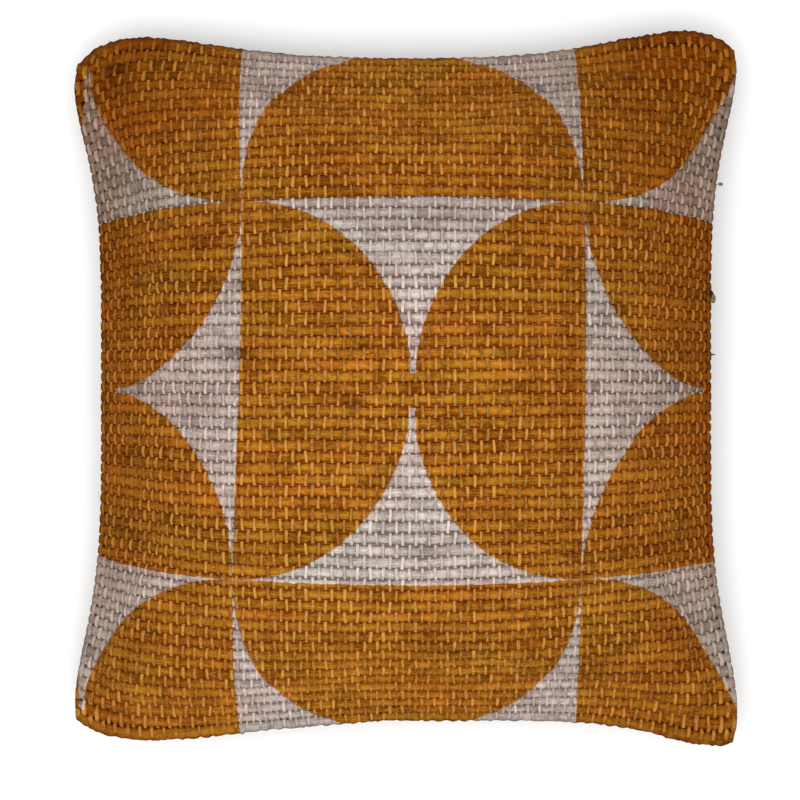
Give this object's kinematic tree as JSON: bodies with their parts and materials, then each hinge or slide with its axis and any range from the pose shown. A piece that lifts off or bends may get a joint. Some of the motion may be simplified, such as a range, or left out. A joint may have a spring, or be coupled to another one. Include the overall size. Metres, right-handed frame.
{
  "type": "throw cushion",
  "caption": "Plump oblong throw cushion in coarse hand-woven cloth, printed on the front with mustard half-rounds on a natural ground, with knife-edge seams and drawn-in sides.",
  "frame": {"origin": "on the resting plane, under the middle of the cushion's bounding box", "axes": "+Z out of the printed front, +Y to the top of the front, +X to the right seen from the front"},
  "size_m": [0.4462, 0.4772, 0.141],
  "materials": {
    "woven_cloth": "coarse matt plain weave with thick slubby yarn, mustard print on natural"
  },
  "bodies": {
    "root": {"cushion": "woven_cloth"}
  },
  "joints": []
}
